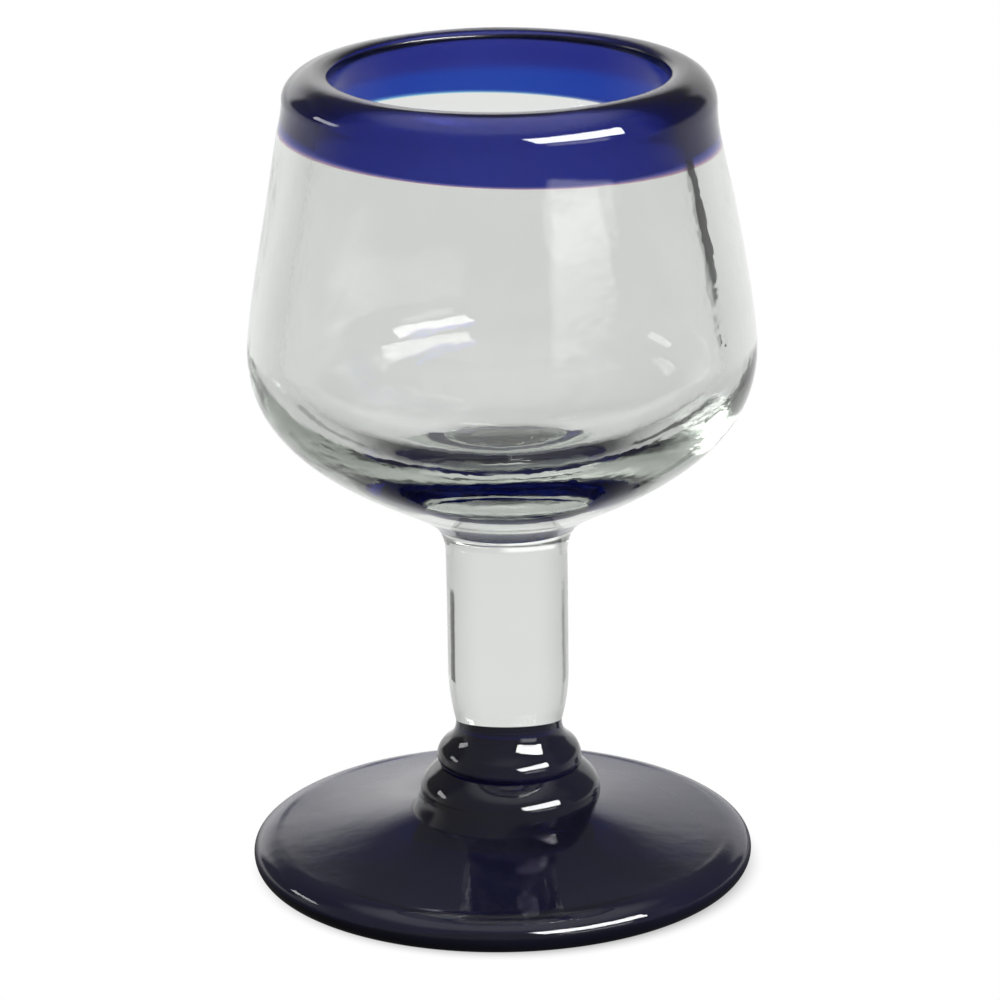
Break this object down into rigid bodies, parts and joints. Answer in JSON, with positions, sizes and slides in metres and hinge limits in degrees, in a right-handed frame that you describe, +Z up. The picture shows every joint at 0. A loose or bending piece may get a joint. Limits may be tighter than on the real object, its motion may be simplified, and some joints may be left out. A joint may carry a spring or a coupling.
{
  "type": "liqueur glass",
  "caption": "Short stemmed liqueur glass in hand-blown clear glass, with a cobalt blue lip band, knop, collar and broad round foot, for holding small measures of spirits.",
  "frame": {"origin": "centre of the foot's resting ring, on the surface that the glass stands on", "axes": "+Z up along the axis of the glass; the glass is turned about Z, so X and Y are free, and -Y faces the viewer of the picture"},
  "size_m": [0.0624, 0.0624, 0.1016],
  "materials": {
    "clear_glass": "smooth fire-polished hand-blown glass with a faint grey-green tint",
    "cobalt_glass": "smooth fire-polished cobalt blue glass, a thin wall that light comes through",
    "dark_cobalt_glass": "smooth thick cobalt blue glass that looks almost black"
  },
  "bodies": {
    "root": {"foot": "dark_cobalt_glass", "collar": "dark_cobalt_glass", "knop": "dark_cobalt_glass", "stem": "clear_glass", "bowl": "clear_glass", "lip_band": "cobalt_glass"}
  },
  "joints": []
}
